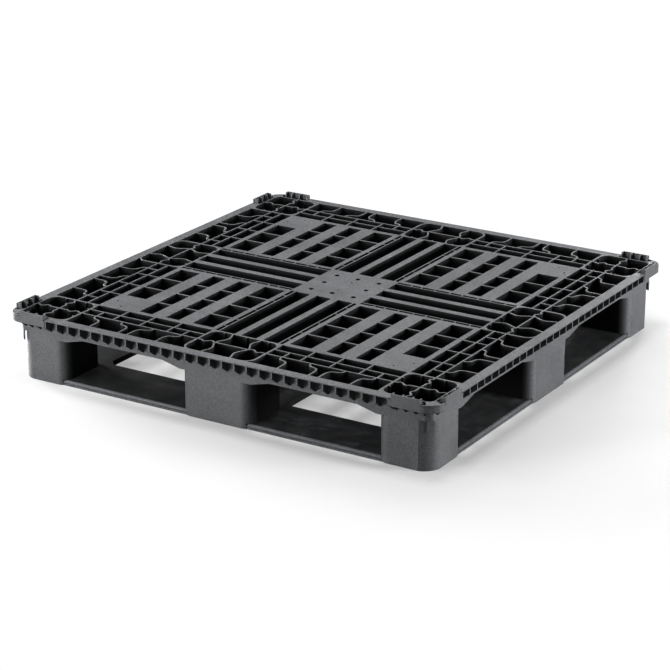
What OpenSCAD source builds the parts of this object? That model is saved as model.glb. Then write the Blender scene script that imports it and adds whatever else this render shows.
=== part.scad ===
// Square plastic pallet with nine hollow legs, an open ribbed deck and a perimeter base.
// Millimetres, +Z up. The origin is the centre of the footprint on the floor.
// X runs along the front side, Y goes from the front side to the back side.

/* [Overall] */
// Side length of the square footprint
side = 1140; // [1140:2:1180]
// Height from the floor to the deck
height = 160; // [150:1:190]
// How far the corner lips stand above the deck
lip_height = 10; // [4:1:20]

/* [Rim] */
// How far the rim overhangs the legs and skirts
overhang = 21; // [16:0.5:24]
// Thickness of the overhanging rim flange
flange_t = 2.5; // [2:0.1:5]
// Thickness of the skirt and of the outer leg walls
wall = 3.6; // [3:0.1:4.5]
// Outer corner radius of the rim
rim_r = 40; // [36:1:40]
// Spacing of the brackets under the rim
bracket_pitch = 32.5; // [26:0.5:45]
// Thickness of a bracket
bracket_t = 3.8; // [2:0.1:6]

/* [Deck] */
// Depth of the ribbed deck
deck_depth = 39.5; // [30:0.5:44]
// Width of the three flat slats in each quarter
slat_w = 38; // [24:1:44]
// Distance of the first slat and cross rib from the centre lines
slat_first = 179; // [172:0.5:186]
// Spacing of the slats and of the cross ribs
slat_pitch = 75; // [70:0.5:78]
// Thickness of the cross ribs between the slats
cross_t = 5; // [3:0.5:8]
// Thickness of the thin ribs in the border strip
thin_t = 4.2; // [2.5:0.1:6]
// Skin thickness of the slats and plates
skin_t = 4; // [3:0.5:8]
// Diameter of the eight holes in the centre plate
hole_d = 12.5; // [6:0.5:14]
// Diameter of the small gate holes in the centre and corner plates
gate_d = 5; // [3:0.5:8]
// Spacing of the holes in the centre plate
hole_pitch = 58.5; // [50:0.5:64]

/* [Legs] */
// Half width of the middle and centre legs
leg_half = 94.5; // [92:0.5:96]
// Distance from the centre to the inner face of the outer legs
leg_from = 414; // [412:0.5:416]
// Vertical corner radius of the legs
leg_r = 28; // [16:1:29]
// How far the skirt edge drops towards a leg
haunch_drop = 12; // [4:0.5:16]
// Length of the sloping skirt edge beside a leg
haunch_run = 49; // [30:1:70]

/* [Base] */
// Thickness of the base frame
base_t = 12.5; // [10:0.5:16]
// Distance from the centre to the window edge of the outer runners
runner_in = 405; // [395:1:410]
// Half width of the two middle runners
runner_mid = 91.5; // [80:0.5:96]
// Leg length of the chamfers in the window corners
window_chamfer = 18; // [8:1:40]

/* [Assembly] */
// Shank diameter of the base screws
screw_d = 5; // [4:0.5:6]
// Length of the base screws under the head
screw_len = 34; // [25:1:45]

/* [Hidden] */
$fn = 48;
half = side / 2;                    // rim edge
face = half - overhang;             // outer face of skirts and legs
inner = face - wall;                // inner face of skirts and outer leg walls
deck_z = height - deck_depth;       // underside of the ribbed deck
haunch_z = deck_z - haunch_drop;    // skirt edge at a leg
slat_at = [for (k = [0 : 2]) slat_first + k * slat_pitch];
flange_z = height - flange_t;       // underside of the rim flange
band_z = height - 18;               // lower edge of the corner guards
leg_mid = (leg_from + inner) / 2;   // centre of an outer leg
leg_wall = 5.5;                     // wall of a leg towards the fork tunnels
leg_floor = 4;                      // floor plate of the outer legs
strip_at = 482;                     // centre line of the outer thin rib
line_at = 451;                      // centre line of the inner thin rib
frame_in = 103.5;                   // inner edge of a quarter's first opening
frame_out = 404.5;                  // outer edge of a quarter's last opening
border_in = 418.5;                  // where the border strip starts
arm_rib_at = 29.25;                 // centre line of the two wide arm ribs
arm_rib_w = 18.5;
arm_thin = [78.5, 82];              // thin rib that closes an arm
arm_edge = 90.5;                    // inner edge of the quarter frames
lip_from = 460.5;                   // start of a corner lip along a side
lip_to = 530;                       // end of a corner lip along a side
guard_from = 457.6;                 // start of a corner guard along a side
guard_t = 3;                        // wall of a corner guard
guard_ribs = [462.2, 486, 510, 528.4];
ledge_z = deck_z - 4.5;             // where the leg corners widen
cut_h = face + 1.5;                 // outline of the corner legs below the ledge
cut_r = 46;                         // its corner radius, larger than above the ledge
foot_gap = 0.2;                     // clearance between the deck moulding and the base

// ---------- small helpers ----------

module box2(x0, x1, y0, y1) {
  translate([x0, y0]) square([x1 - x0, y1 - y0]);
}

module rounded2(x0, x1, y0, y1, r) {
  box2(x0 + r, x1 - r, y0, y1);
  box2(x0, x1, y0 + r, y1 - r);
  for (x = [x0 + r, x1 - r], y = [y0 + r, y1 - r]) translate([x, y]) circle(r);
}

module rounded_square2(h, r) {
  rounded2(-h, h, -h, h, r);
}

module slab(z0, z1) {
  translate([0, 0, z0]) linear_extrude(z1 - z0) children();
}

// Four quarters by mirroring, and four sides or corners by turning the front side.
module quarters() {
  for (mx = [0, 1], my = [0, 1]) mirror([mx, 0, 0]) mirror([0, my, 0]) children();
}

module sides() {
  for (a = [0 : 90 : 270]) rotate(a) children();
}

module both() {
  children();
  mirror([1, 0, 0]) children();
}

// Prism of a profile given as [distance outwards, height], standing at s along the front side.
module profile_at(s, t) {
  translate([s + t / 2, 0, 0]) rotate([90, 0, -90]) linear_extrude(t) children();
}

function heading(p, i) =
  let (a = p[max(i - 1, 0)], b = p[min(i + 1, len(p) - 1)]) (b - a) / norm(b - a);

function normal(p, i) = let (d = heading(p, i)) [-d[1], d[0]];

// Outline of a ribbon of width w along the points p.
function ribbon(p, w) = concat(
  [for (i = [0 : len(p) - 1]) p[i] + w / 2 * normal(p, i)],
  [for (i = [len(p) - 1 : -1 : 0]) p[i] - w / 2 * normal(p, i)]);

function ease(t) = t * t * (3 - 2 * t);

// ---------- plan of the deck ----------

// Openings between two neighbouring ribs, for ribs of width w at the centres c from a to b.
function gaps(c, w, a, b) = [for (i = [0 : len(c)])
  [i == 0 ? a : c[i - 1] + w / 2, i == len(c) ? b : c[i] - w / 2]];

// One quarter of the deck: three slats along Y, thin cross ribs and a closed outer corner.
module quarter_openings() {
  columns = gaps(slat_at, slat_w, frame_in, frame_out);
  rows = gaps(slat_at, cross_t, frame_in, frame_out);
  for (i = [0 : 3], j = [0 : 3])
    if (!(i == 3 && j == 3)) box2(columns[i][0], columns[i][1], rows[j][0], rows[j][1]);
}

// The three channels of an arm, and the narrow slots beside them, on the front side.
module arm_openings(ties) {
  box2(-arm_rib_at + arm_rib_w / 2, arm_rib_at - arm_rib_w / 2, -leg_from, -leg_half);
  slots = gaps(ties, 3, leg_half, leg_from);
  both() {
    box2(arm_rib_at + arm_rib_w / 2, arm_thin[0], -leg_from, -leg_half);
    for (s = slots) box2(arm_thin[1], arm_edge, -s[1], -s[0]);
  }
}

// Plan of a middle leg on the front side, and of the corner leg on the right of it.
module middle_leg2(grow) {
  g = grow;
  rounded2(-leg_half - g, leg_half + g, -face - g, -leg_from + g, leg_r + g);
}

module corner_leg2(outer_h, outer_r) {
  intersection() {
    union() {
      rounded2(leg_from, face, -face, -leg_from, leg_r);
      box2(leg_mid, face, -face, -leg_mid);
    }
    rounded_square2(outer_h, outer_r);
  }
}

module middle_void2() {
  rounded2(-leg_half + leg_wall, leg_half - leg_wall, -inner, -leg_from - leg_wall, leg_r - leg_wall);
}

module corner_void2(outer_h, outer_r) {
  intersection() {
    union() {
      rounded2(leg_from + leg_wall, inner, -inner, -leg_from - leg_wall, leg_r - leg_wall);
      box2(leg_mid, inner, -inner, -leg_mid);
    }
    rounded_square2(outer_h, outer_r);
  }
}

// Border strip of the front side: two rows of small cells and the outer strip.
module border_openings() {
  a = leg_half;
  b = leg_from;
  t = thin_t / 2;
  short_ribs = concat(slat_at[0] - 44, slat_at, slat_at[2] + 46);
  both() {
    for (g = gaps(slat_at, thin_t, a, b)) box2(g[0], g[1], -line_at + t, -border_in);
    for (g = gaps(short_ribs, thin_t, a, b)) box2(g[0], g[1], -strip_at + t, -line_at - t);
    difference() {
      box2(a - leg_r, b + leg_r, -inner, -strip_at - t);
      middle_leg2(0.25);
      rounded2(leg_from - 0.25, half, -half, -leg_from + 0.25, leg_r);
    }
  }
}

// S-shaped rib of the outer strip, from s on the thin rib to e at the rim, with two round lobes.
module s_rib(s, e) {
  r0 = strip_at;
  r1 = strip_at + 36;
  n = 10;
  curve = [for (i = [0 : n]) let (t = i / n)
    [s + (e - s) * (t - 0.1 * sin(360 * t)), -r0 - (r1 - r0) * (t + 0.11 * sin(360 * t))]];
  polygon(ribbon(concat(curve, [[e, -inner - 1]]), thin_t));
}

module border_ribs() {
  mid = slat_at[1];
  both() for (p = [[121, 92], [44.5, 12.5]]) {
    s_rib(mid - p[0], mid - p[1]);
    s_rib(mid + p[0], mid + p[1]);
  }
}

// A thin rib along a side with a small S-shaped jog at each of the given places.
module jogged_rib(from, to, jogs) {
  span = 32;
  depth = 5.5;
  n = 6;
  jogged = [for (c = jogs, i = [0 : n]) let (t = i / n)
    [c + span * (t - 0.5), -strip_at - depth * sin(360 * (t - 0.5))]];
  polygon(ribbon(concat([[from, -strip_at]], jogged, [[to, -strip_at]]), thin_t));
}

// The two wavy ribs inside a middle leg.
module wavy_rib() {
  at = [[leg_from + 3, 38], [447, 30], [481, 44], [516, 30.5], [inner + 1, 38]];
  n = 4;
  pts = [for (k = [0 : 3], i = [0 : n - 1]) let (t = i / n)
    [at[k][1] + (at[k + 1][1] - at[k][1]) * ease(t), -at[k][0] - (at[k + 1][0] - at[k][0]) * t]];
  polygon(ribbon(concat(pts, [[at[4][1], -at[4][0]]]), thin_t));
}

module leg_ribs() {
  sides() {
    both() {
      wavy_rib();
      jogged_rib(leg_from + 3, inner + 1, [441, 523]);
    }
    both() jogged_rib(-1, leg_half - 2, [63]);
  }
}

// Small vertical fins on the leg walls that face the rim.
module leg_fins() {
  sides() {
    for (s = [-59, 0, 59]) box2(s - 1.4, s + 1.4, -leg_from - 10, -leg_from - 3);
    both() for (s = [451, 508]) box2(s - 1.4, s + 1.4, -leg_from - 10, -leg_from - 3);
  }
}

// Everything that is open from above, between the ribs.
module deck_openings() {
  quarters() quarter_openings();
  for (a = [0, 180]) rotate(a) arm_openings(concat(slat_at[0] - 46, slat_at, slat_at[2] + 50));
  for (a = [90, 270]) rotate(a) arm_openings([133, 161, 197, 237, 270, 312, 346, 385]);
  difference() {
    sides() border_openings();
    sides() border_ribs();
  }
}

// Hollows under the slats, the corner plates and the arm ribs, open downwards.
module deck_hollows() {
  w = 3;
  rows = gaps(slat_at, cross_t, frame_in, frame_out);
  quarters() for (c = slat_at, r = rows)
    box2(c - slat_w / 2 + w, c + slat_w / 2 - w, r[0], r[1]);
  quarters() box2(slat_at[2] + slat_w / 2 + w, frame_out, slat_at[2] + cross_t / 2, frame_out);
  for (x = [-1, 1] * arm_rib_at, m = [0, 1]) mirror([0, m, 0])
    box2(x - arm_rib_w / 2 + w, x + arm_rib_w / 2 - w, leg_half + w, leg_from - 1);
  for (y = [-1, 1] * arm_rib_at, m = [0, 1]) mirror([m, 0, 0])
    box2(leg_half + w, leg_from - 1, y - arm_rib_w / 2 + w, y + arm_rib_w / 2 - w);
}

// ---------- bodies of the deck moulding ----------

// Cut-outs in the rim flange where the corner lips come up.
module lip_notch2() {
  intersection() {
    polygon([[guard_from, -face], [guard_from, -half - 1], [545, -half - 1], [533, -face]]);
    union() {
      box2(guard_from, lip_to + 0.6, -half - 1, -face);
      rounded_square2(half - guard_t, rim_r - guard_t);
    }
  }
}

module rim_flange() {
  slab(flange_z, height) difference() {
    rounded_square2(half, rim_r);
    rounded_square2(inner + 0.6, rim_r - overhang - wall);
    sides() both() lip_notch2();
  }
}

module rim_brackets() {
  n = floor(guard_from / bracket_pitch);
  sides() for (k = [-n : n]) profile_at(k * bracket_pitch, bracket_t)
    polygon([[face - 1, height - 33], [face, height - 33], [half - 0.6, height - 18],
             [half - 0.6, flange_z + 1], [face - 1, flange_z + 1]]);
}

// Skirt edge between the legs: straight in the middle, sloping down to the legs.
module skirt_haunches() {
  top = deck_z + 1;
  sides() both() translate([0, -inner, 0]) rotate([90, 0, 0]) linear_extrude(wall) {
    polygon([[leg_half - leg_r, haunch_z], [leg_half, haunch_z], [leg_half + haunch_run, deck_z],
             [leg_half + haunch_run, top], [leg_half - leg_r, top]]);
    polygon([[leg_from - haunch_run, deck_z], [leg_from, haunch_z], [leg_from + leg_r, haunch_z],
             [leg_from + leg_r, top], [leg_from - haunch_run, top]]);
  }
}

// Solid blocks that the legs are hollowed from. They stand on the base frame.
module leg_blocks() {
  low = base_t + foot_gap;
  slab(low, deck_z + 1) {
    sides() middle_leg2(0);
    rounded_square2(leg_half, leg_r);
  }
  slab(low, ledge_z + 1) sides() corner_leg2(cut_h, cut_r);
  slab(ledge_z, deck_z + 1) sides() corner_leg2(face, rim_r - overhang);
}

// Outer leg walls that pass the base frame and stand on the floor.
module foot_walls() {
  slab(0, base_t + 1) sides() {
    difference() {
      middle_leg2(0);
      box2(-leg_half, leg_half, -inner, 0);
    }
    difference() {
      corner_leg2(cut_h, cut_r);
      intersection() {
        rounded_square2(cut_h - wall, cut_r - wall);
        box2(-inner, inner, -inner, inner);
      }
    }
  }
}

// Tongue that holds the end of a wrapping film, one at every leg corner.
module film_hooks() {
  d = (face - (rim_r - overhang)) * sqrt(2) + (rim_r - overhang) - 1.2;
  for (a = [45 : 90 : 315]) rotate(a) translate([d - 3, -8, ledge_z - 24]) cube([3, 16, 25]);
}

// Positions of the two screws in the leg of column x and row y, each -1, 0 or 1.
module screw_pair(x, y) {
  for (k = [-1, 1])
    translate([x * leg_mid + k * 22, y * leg_mid + k * 22 * (x * y == 0 ? 1 : -x * y), 0]) children();
}

module screw_places() {
  for (x = [-1 : 1], y = [-1 : 1]) screw_pair(x, y) children();
}

// The outer legs carry their bosses on the floor plate, the centre leg hangs them from the centre plate.
module screw_bosses() {
  for (x = [-1 : 1], y = [-1 : 1])
    screw_pair(x, y) cylinder(d = 15, h = x == 0 && y == 0 ? height - 1 : base_t + screw_len, $fn = 24);
}

// Hollow inside of the legs, with the ribs and the screw bosses left standing. The outer legs are
// open at the top and have a floor plate, and the centre leg is open at the bottom.
module leg_voids() {
  low = base_t + foot_gap + leg_floor;
  difference() {
    union() {
      slab(low, height + 1) difference() {
        sides() middle_void2();
        leg_ribs();
        leg_fins();
      }
      slab(low, ledge_z + 3) difference() {
        sides() corner_void2(cut_h - wall, cut_r - wall);
        leg_ribs();
        leg_fins();
      }
      slab(ledge_z + 3, height + 1) difference() {
        sides() corner_void2(inner, rim_r - overhang - wall);
        leg_ribs();
        leg_fins();
      }
      slab(-1, height - skin_t) difference() {
        rounded_square2(leg_half - leg_wall, leg_r - leg_wall);
        box2(-leg_half, leg_half, -2, 2);
        box2(-2, 2, -leg_half, leg_half);
      }
    }
    screw_bosses();
  }
}

// Eight holes of the centre plate, in a three by three pattern without its middle, and the small gate
// holes: two in the centre plate and two in each corner plate.
module plate_holes() {
  translate([0, 0, height - skin_t - 1]) {
    for (x = [-1 : 1], y = [-1 : 1]) if (x != 0 || y != 0)
      translate([x * hole_pitch, y * hole_pitch, 0]) cylinder(d = hole_d, h = skin_t + 2);
    for (y = [-30, 30]) translate([0, y, 0]) cylinder(d = gate_d, h = skin_t + 2);
    quarters() for (p = [[367, 398], [399, 366]])
      translate([p[0], p[1], 0]) cylinder(d = gate_d, h = skin_t + 2);
  }
}

module top_deck() {
  color([0.33, 0.34, 0.35]) difference() {
    union() {
      slab(deck_z, height) rounded_square2(face, rim_r - overhang);
      rim_flange();
      rim_brackets();
      skirt_haunches();
      leg_blocks();
      foot_walls();
      film_hooks();
    }
    slab(deck_z - 1, height + 1) deck_openings();
    slab(deck_z - 1, height - skin_t) deck_hollows();
    leg_voids();
    plate_holes();
    screw_places() translate([0, 0, base_t]) cylinder(d = screw_d + 0.2, h = screw_len, $fn = 24);
    sides() both() translate([491.5, -face - 1, height - 12]) cube([13, wall + 2, 4]);
  }
}

// ---------- corner guard ----------

module guard_band2(from) {
  intersection() {
    difference() {
      rounded_square2(half, rim_r);
      rounded_square2(half - guard_t, rim_r - guard_t);
    }
    box2(from, half, -half, -from);
  }
}

// Lip, ribs and snap tongue of one leg of a guard, along the front side.
module guard_arm() {
  slab(band_z, height + lip_height) intersection() {
    guard_band2(guard_from);
    box2(lip_from, lip_to, -half, -half + guard_t + 1);
  }
  for (s = guard_ribs) profile_at(s, 2.6)
    polygon([[face, height - 33], [half - 2, band_z], [half - 1, height + lip_height],
             [half - 12, height + lip_height], [half - 13.5, height], [face, height - flange_t]]);
  translate([498 - 5.5, -half + 1, height - 11.5]) cube([11, overhang + wall + 2, 3]);
  translate([498 - 5.5, -inner + 0.3, height - 13.5]) cube([11, 2.7, 5]);
}

module corner_guard() {
  slab(band_z, flange_z - 0.5) guard_band2(guard_from);
  guard_arm();
  mirror([1, 1, 0]) guard_arm();
}

module corner_guard_front_right() {
  color([0.33, 0.34, 0.35]) corner_guard();
}

module corner_guard_back_right() {
  color([0.33, 0.34, 0.35]) rotate(90) corner_guard();
}

module corner_guard_back_left() {
  color([0.33, 0.34, 0.35]) rotate(180) corner_guard();
}

module corner_guard_front_left() {
  color([0.33, 0.34, 0.35]) rotate(270) corner_guard();
}

// ---------- base ----------

module window2() {
  a = runner_mid;
  b = runner_in;
  c = window_chamfer;
  polygon([[a + c, a], [b - c, a], [b, a + c], [b, b - c], [b - c, b], [a + c, b], [a, b - c], [a, a + c]]);
}

module base_outline2(inset) {
  intersection() {
    rounded_square2(cut_h - wall - foot_gap - inset, cut_r - wall - inset);
    rounded_square2(inner - foot_gap - inset, 30);
  }
}

// Underside pockets between the stiffening ribs of the runners.
module base_pockets2() {
  t = 3;
  outer_cells = [[-inner, -477], [-477, -runner_in], [runner_in, 477], [477, inner]];
  mid_cells = [[-runner_mid, -31], [-31, 31], [31, runner_mid]];
  step = (runner_in - runner_mid) / 3;
  window_cells = [for (k = [0 : 2], m = [-1, 1])
    m < 0 ? [-runner_mid - (k + 1) * step, -runner_mid - k * step]
          : [runner_mid + k * step, runner_mid + (k + 1) * step]];
  solid_cells = concat(outer_cells, mid_cells);
  intersection() {
    union() {
      for (a = solid_cells, b = concat(solid_cells, window_cells))
        box2(a[0] + t / 2, a[1] - t / 2, b[0] + t / 2, b[1] - t / 2);
      for (a = window_cells, b = solid_cells)
        box2(a[0] + t / 2, a[1] - t / 2, b[0] + t / 2, b[1] - t / 2);
    }
    base_outline2(3);
  }
}

// Long wedge that bevels the upper outer edge of the base along one side.
module base_bevel() {
  translate([half, 0, 0]) rotate([90, 0, -90]) linear_extrude(side)
    polygon([[inner - 4.2, base_t], [inner + 1, base_t - 5.2],
             [inner + 1, base_t + 1], [inner - 4.2, base_t + 1]]);
}

module base_frame() {
  color([0.27, 0.28, 0.29]) difference() {
    union() {
      difference() {
        slab(0, base_t) difference() {
          base_outline2(0);
          quarters() window2();
        }
        slab(-1, base_t - 3.5) base_pockets2();
      }
      screw_places() cylinder(d = 22, h = base_t - 1, $fn = 32);
    }
    sides() base_bevel();
    slab(4, 5.6) difference() {
      rounded_square2(half, rim_r);
      base_outline2(1.8);
    }
    screw_places() translate([0, 0, -1]) cylinder(d = screw_d + 1, h = base_t + 2, $fn = 32);
    screw_places() translate([0, 0, -1]) cylinder(d = 13, h = 5, $fn = 32);
  }
}

// ---------- screws ----------

module base_screw() {
  translate([0, 0, 0.6]) difference() {
    cylinder(d = 12, h = 3.4, $fn = 32);
    for (a = [0, 90]) rotate(a) translate([-3.5, -0.6, -1]) cube([7, 1.2, 2.8]);
  }
  translate([0, 0, 3.5]) cylinder(d = screw_d, h = screw_len - 4, $fn = 24);
  translate([0, 0, screw_len - 0.5]) cylinder(d1 = screw_d, d2 = 1, h = 4, $fn = 24);
}

module base_screws() {
  color([0.62, 0.63, 0.65]) screw_places() base_screw();
}

top_deck();
base_frame();
corner_guard_front_left();
corner_guard_front_right();
corner_guard_back_left();
corner_guard_back_right();
base_screws();
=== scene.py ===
"""Looks for the plastic pallet: moulded plastic and zinc materials, floor, light and camera. Lengths in metres."""
import math

import bpy
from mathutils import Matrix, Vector


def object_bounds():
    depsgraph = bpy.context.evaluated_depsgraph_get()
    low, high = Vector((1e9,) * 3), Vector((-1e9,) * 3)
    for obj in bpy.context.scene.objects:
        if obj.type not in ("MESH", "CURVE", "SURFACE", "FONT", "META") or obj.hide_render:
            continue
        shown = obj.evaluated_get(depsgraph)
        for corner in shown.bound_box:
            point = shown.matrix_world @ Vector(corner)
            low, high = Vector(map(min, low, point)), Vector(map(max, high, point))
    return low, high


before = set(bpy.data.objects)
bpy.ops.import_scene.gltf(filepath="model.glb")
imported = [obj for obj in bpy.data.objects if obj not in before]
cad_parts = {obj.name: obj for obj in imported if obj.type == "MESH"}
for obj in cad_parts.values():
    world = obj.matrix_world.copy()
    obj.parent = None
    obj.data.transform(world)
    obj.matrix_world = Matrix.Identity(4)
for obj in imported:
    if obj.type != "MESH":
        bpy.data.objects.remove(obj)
cad_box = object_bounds()

OVERHANG = 0.021                 # how far the rim stands out past the skirts and legs
LIP = 0.010                      # how far the corner lips stand above the deck
FACE = cad_box[1][0] - OVERHANG  # outer face of the skirts and legs
DECK_TOP = cad_box[1][2] - LIP
CELL = 0.030                     # depth at which the painted shade in the deck's cells is full
LEG_TOP = (0.118, 0.124)         # heights between which the legs turn into the deck
CORNER_TOP = (0.128, 0.132)      # heights between which the corner radius changes
LEG_CORNER = 0.0445              # corner radius of the legs' outline
DECK_CORNER = 0.019              # corner radius of the deck's outline

FLOOR_GREY = 0.2
FLOOR_GLOW = 0.37                # extra floor brightness, seen by the camera only
FADE = (0.64, 1.40)              # distances from the fade's centre where the floor turns to white
FADE_CENTRE = (0.24, 0.20, 0.0)
WORLD = 0.35
GAMMA = 0.715                    # more contrast than a plain view

AIM = Vector((0, 0, 0.1))        # where the lights point
LIGHT_AWAY = 4.0
VIEW_TURN, VIEW_RISE = 31.75, 20.0
VIEW_AIM = Vector((-0.0728, 0.0716, 0.0))
VIEW_AWAY = 5.6377
VIEW_LENS = 123.76


# ---------- node helpers ----------

class Tree:
    """A short way to add shader nodes and join them."""

    def __init__(self, name):
        self.mat = bpy.data.materials.new(name)
        self.mat.use_nodes = True
        self.t = self.mat.node_tree
        self.t.nodes.clear()

    def add(self, kind, **values):
        """A new node. Each value sets a property, or else the input of that name."""
        n = self.t.nodes.new("ShaderNode" + kind)
        for key, v in values.items():
            if key in n.bl_rna.properties:
                setattr(n, key, v)
            else:
                self.put(n.inputs[key.replace("_", " ")], v)
        return n

    def put(self, socket, v):
        if isinstance(v, bpy.types.NodeSocket):
            self.t.links.new(v, socket)
        else:
            socket.default_value = v

    def puts(self, node, values):
        """Sets the node's first inputs in order."""
        for i, v in enumerate(values):
            self.put(node.inputs[i], v)

    def math(self, op, a, b=0.5, clamp=False):
        n = self.add("Math", operation=op, use_clamp=clamp)
        self.puts(n, (a, b))
        return n.outputs[0]

    def total(self, first, *rest):
        for v in rest:
            first = self.math("ADD", first, v)
        return first

    def product(self, first, *rest):
        for v in rest:
            first = self.math("MULTIPLY", first, v)
        return first

    def vector(self, op, a, b=None):
        n = self.add("VectorMath", operation=op)
        self.puts(n, (a,) if b is None else (a, b))
        return n

    def ramp(self, x, lo, hi, to_lo=0.0, to_hi=1.0, curve="LINEAR"):
        """x from lo..hi to to_lo..to_hi, held inside that range."""
        n = self.add("MapRange", interpolation_type=curve)
        self.puts(n, (x, lo, hi, to_lo, to_hi))
        return n.outputs[0]

    def mix(self, f, a, b, kind="MIX"):
        n = self.add("Mix", data_type="RGBA", blend_type=kind)
        self.put(n.inputs[0], f)
        self.put(n.inputs[6], a)
        self.put(n.inputs[7], b)
        return n.outputs[2]

    def noise(self, vec, scale, detail=2.0, rough=0.5, distortion=0.0):
        n = self.add("TexNoise", Vector=vec, Scale=scale, Detail=detail, Roughness=rough,
                     Distortion=distortion)
        return n.outputs[0]

    def stretch(self, vec, scale, turn=0.0):
        return self.add("Mapping", Vector=vec, Scale=scale, Rotation=(0, 0, turn)).outputs[0]

    def finish(self, shader):
        self.t.links.new(shader, self.add("OutputMaterial").inputs[0])
        return self.mat


# ---------- materials ----------

def shade(k, at, rim, depth):
    """A factor, 1 on outer faces, that paints shade into the deck's cells and the inside of the legs, darkening
    their colour where little light reaches.

    rim is how far in from the outer face the legs get their full painted shade.
    depth is how strong the painted shade is low down.
    """
    x, y, z = k.add("SeparateXYZ", Vector=at).outputs[:3]
    x = k.math("ABSOLUTE", x)
    y = k.math("ABSOLUTE", y)
    # How far out a point is, measured to the rounded square of the pallet's outline.
    core = k.ramp(z, *CORNER_TOP, FACE - LEG_CORNER, FACE - DECK_CORNER)
    over_x = k.math("MAXIMUM", k.math("SUBTRACT", x, core), 0.0)
    over_y = k.math("MAXIMUM", k.math("SUBTRACT", y, core), 0.0)
    over = k.math("SQRT", k.total(k.product(over_x, over_x), k.product(over_y, over_y)))
    out = k.total(k.math("MINIMUM", k.math("MAXIMUM", x, y), core), over)

    in_deck = k.ramp(out, FACE - 0.0012, FACE - 0.0022)
    in_leg = k.ramp(out, FACE - 0.0045, FACE - rim)
    high = k.ramp(z, *LEG_TOP)
    inside = k.total(k.product(in_deck, high), k.product(in_leg, k.math("SUBTRACT", 1.0, high)))

    # Painted shade: a step just below the deck top, then darker still down to CELL below it.
    below_top = k.ramp(z, DECK_TOP - 0.0003, DECK_TOP - 0.0013)
    painted_shade_amount = k.product(below_top, k.ramp(z, DECK_TOP - 0.001, DECK_TOP - CELL, 0.75, depth))
    return k.math("SUBTRACT", 1.0, k.product(inside, painted_shade_amount))


def plastic(name, base, worn, rough=0.46, wear=1.0, dust=0.0, rim=0.026, depth=0.84):
    """Moulded plastic: mottle, flow streaks, speckle, painted shade in the cells and legs, marks on top, pale worn
    edges and fine grain.
    """
    k = Tree(name)
    at = k.add("TexCoord").outputs["Object"]
    normal = k.add("NewGeometry").outputs["Normal"]
    facing_up = k.ramp(k.add("SeparateXYZ", Vector=normal).outputs[2], 0.6, 0.95)

    mottle = k.noise(at, 7.0, 3.0, 0.55)
    streak = k.noise(k.stretch(at, (2.0, 46.0, 14.0)), 1.0, 3.0, 0.6, 0.6)
    speck = k.noise(at, 230.0, 2.0, 0.6)
    speck_strength = k.ramp(facing_up, 0.0, 1.0, 0.18, 0.36)
    # Painted shade factor: 1 on outer faces, lower deep in the deck's cells and inside the legs.
    shade_factor = shade(k, at, rim, depth)
    tone = k.total(k.ramp(mottle, 0.3, 0.7, -0.10, 0.10), k.ramp(streak, 0.3, 0.7, -0.06, 0.06),
                   k.product(k.ramp(speck, 0.34, 0.66, -1.0, 1.0), speck_strength), 1.0)
    # The painted shade darkens the colour.
    tone = k.product(tone, shade_factor)
    grey = k.add("CombineXYZ", X=tone, Y=tone, Z=tone).outputs[0]
    color = k.mix(1.0, (*base, 1.0), grey, "MULTIPLY")

    # Scratches in three directions and rub marks of loads, on faces that look up.
    scratches = 0.0
    for turn, cut in ((0.22, 0.655), (1.31, 0.665), (-0.62, 0.67)):
        lines = k.noise(k.stretch(at, (9.0, 620.0, 1.0), turn), 1.0, 1.5, 0.45, 0.25)
        scratches = k.math("MAXIMUM", scratches, k.ramp(lines, cut, cut + 0.035))
    patch = k.product(k.ramp(k.noise(at, 5.5, 4.0, 0.6), 0.46, 0.62), facing_up)
    scratches = k.product(scratches, patch)
    rub = k.product(k.ramp(k.noise(at, 38.0, 5.0, 0.68), 0.52, 0.72), patch)

    # Edges are where a rounded normal leaves the true normal.
    soft = k.add("Bevel", samples=2, Radius=0.0008).outputs[0]
    edge = k.ramp(k.vector("DOT_PRODUCT", soft, normal).outputs["Value"], 0.985, 0.80)
    nick = k.ramp(k.noise(at, 95.0, 4.0, 0.7), 0.36, 0.66)
    edge = k.math("MULTIPLY", edge, k.product(nick, 0.75 * wear), clamp=True)

    pale = (*worn, 1.0)
    color = k.mix(k.product(rub, 0.26 * wear), color, pale)
    color = k.mix(k.product(scratches, 0.34 * wear), color, pale)
    color = k.mix(edge, color, pale)
    if dust > 0:
        film = k.product(k.ramp(k.noise(at, 16.0, 6.0, 0.65), 0.35, 0.7), facing_up)
        color = k.mix(k.product(film, dust), color, (0.30, 0.29, 0.27, 1.0))

    r = k.total(k.ramp(mottle, 0.3, 0.7, -0.04, 0.05), k.ramp(speck, 0.3, 0.7, -0.03, 0.03),
                k.product(rub, 0.12), k.product(edge, 0.10))
    r = k.math("ADD", r, rough, clamp=True)

    wave = k.add("Bump", Strength=0.35, Distance=0.0009, Height=k.noise(at, 26.0, 2.0, 0.5), Normal=soft)
    grain = k.total(k.noise(at, 1500.0, 2.0, 0.6), k.product(scratches, -0.6))
    fine = k.add("Bump", Strength=0.5, Distance=0.0003, Height=grain, Normal=wave.outputs[0])

    # Specular follows the painted shade, so the shaded cells reflect less.
    skin = k.add("BsdfPrincipled", Base_Color=color, Roughness=r, IOR=1.49, Normal=fine.outputs[0],
                 Specular_IOR_Level=k.product(shade_factor, 0.5))
    return k.finish(skin.outputs[0])


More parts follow.
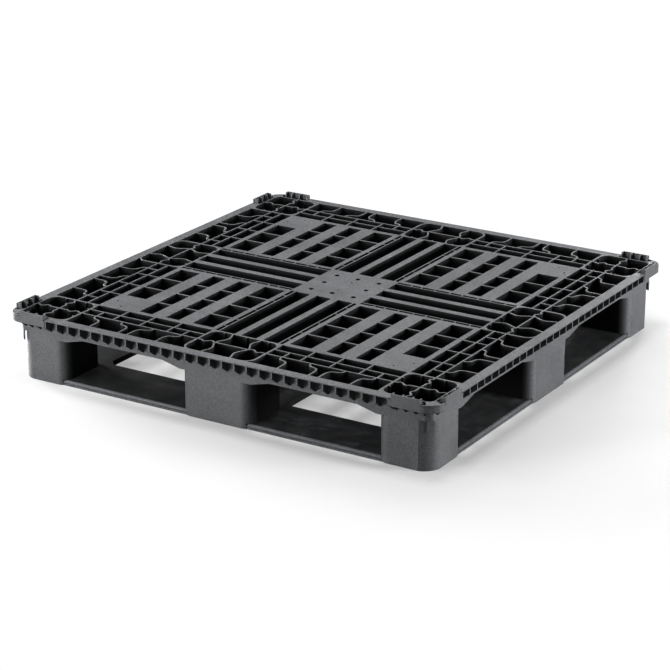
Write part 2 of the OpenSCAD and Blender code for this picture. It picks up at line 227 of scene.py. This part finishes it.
def zinc(name):
    """Zinc plated steel: brushed bands, dull spots and a faint warm tint."""
    k = Tree(name)
    at = k.add("TexCoord").outputs["Object"]
    spots = k.noise(at, 420.0, 4.0, 0.6)
    color = k.mix(k.ramp(spots, 0.4, 0.7), (0.62, 0.62, 0.60, 1), (0.42, 0.41, 0.38, 1))
    brushed = k.noise(k.stretch(at, (300.0, 300.0, 4000.0)), 1.0, 2.0)
    bump = k.add("Bump", Strength=0.3, Distance=0.0001, Height=brushed)
    skin = k.add("BsdfPrincipled", Base_Color=color, Metallic=1.0, Normal=bump.outputs[0],
                 Roughness=k.ramp(spots, 0.3, 0.7, 0.28, 0.5))
    return k.finish(skin.outputs[0])


def paint(node, mat):
    for s in node.material_slots:
        s.material = mat
    if not node.material_slots:
        node.data.materials.append(mat)


deck_plastic = plastic("deck_plastic", (0.074, 0.0765, 0.080), (0.17, 0.173, 0.178))
guard_plastic = plastic("guard_plastic", (0.070, 0.0725, 0.076), (0.16, 0.163, 0.168), rough=0.43)
# The base's painted shade reaches full strength closer to its outer face and is weaker low down.
base_plastic = plastic("base_plastic", (0.070, 0.073, 0.078), (0.17, 0.174, 0.18), rough=0.5, wear=0.8,
                       dust=0.04, rim=0.010, depth=0.72)
own_material = {"top_deck": deck_plastic, "base_frame": base_plastic, "base_screws": zinc("screw_zinc")}

for name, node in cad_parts.items():
    paint(node, own_material.get(name, guard_plastic))


# ---------- floor ----------

def floor():
    """Pale floor. Away from the pallet the camera sees it as plain white."""
    bpy.ops.mesh.primitive_plane_add(size=30, location=(0, 0, 0))
    f = bpy.context.object
    f.name = "floor"
    k = Tree("floor")
    at = k.add("TexCoord").outputs["Object"]
    camera_ray = k.add("LightPath").outputs["Is Camera Ray"]
    tone = k.ramp(k.noise(at, 3.0, 2.0), 0.3, 0.7, FLOOR_GREY - 0.006, FLOOR_GREY + 0.006)
    grey = k.add("CombineColor", Red=tone, Green=tone, Blue=tone).outputs[0]
    skin = k.add("BsdfPrincipled", Base_Color=grey, Roughness=0.6, Specular_IOR_Level=0.2)
    glow = k.add("Emission", Color=(1, 1, 1, 1), Strength=k.product(camera_ray, FLOOR_GLOW))
    white = k.add("Emission", Color=(1, 1, 1, 1), Strength=1.02)
    away = k.vector("LENGTH", k.vector("SUBTRACT", at, FADE_CENTRE).outputs[0]).outputs["Value"]
    fade = k.product(k.ramp(away, *FADE, curve="SMOOTHSTEP"), camera_ray)
    lit = k.add("AddShader")
    k.puts(lit, (skin.outputs[0], glow.outputs[0]))
    both = k.add("MixShader")
    k.puts(both, (fade, lit.outputs[0], white.outputs[0]))
    f.data.materials.append(k.finish(both.outputs[0]))


floor()


# ---------- light ----------

def direction(turn, rise):
    """Unit vector: turn from the front towards the right side, rise above the floor, both in degrees."""
    t, e = math.radians(turn), math.radians(rise)
    return Vector((math.sin(t) * math.cos(e), -math.cos(t) * math.cos(e), math.sin(e)))


def softbox(name, turn, rise, width, height, power):
    light = bpy.data.lights.new(name, "AREA")
    light.shape = "RECTANGLE"
    light.size = width
    light.size_y = height
    light.energy = power
    o = bpy.data.objects.new(name, light)
    bpy.context.collection.objects.link(o)
    o.location = direction(turn, rise) * LIGHT_AWAY
    o.rotation_euler = (AIM - o.location).to_track_quat("-Z", "Y").to_euler()


softbox("top_light", 0, 90, 0.9, 0.9, 134)
softbox("back_light", 200, 50, 1.6, 1.6, 40)
softbox("back_low_light", 180, 14, 1.4, 0.8, 75)
softbox("right_light", 103, 12, 1.2, 0.7, 330)
softbox("left_light", 265, 12, 1.4, 0.9, 560)
softbox("front_light", -30, 11, 1.4, 0.8, 200)
softbox("fill_light", -50, 38, 1.4, 1.4, 75)

world = bpy.data.worlds.new("studio")
bpy.context.scene.world = world
world.use_nodes = True
world.node_tree.nodes["Background"].inputs["Color"].default_value = (1.0, 1.0, 1.0, 1.0)
world.node_tree.nodes["Background"].inputs["Strength"].default_value = WORLD


# ---------- camera ----------

view = direction(VIEW_TURN, VIEW_RISE)
lens = bpy.data.cameras.new("camera")
lens.sensor_width = 36.0
lens.lens = VIEW_LENS
camera = bpy.data.objects.new("camera", lens)
bpy.context.collection.objects.link(camera)
camera.location = VIEW_AIM + view * VIEW_AWAY
camera.rotation_euler = (-view).to_track_quat("-Z", "Y").to_euler()
bpy.context.scene.camera = camera
bpy.context.scene.view_settings.view_transform = "Standard"
bpy.context.scene.view_settings.gamma = GAMMA
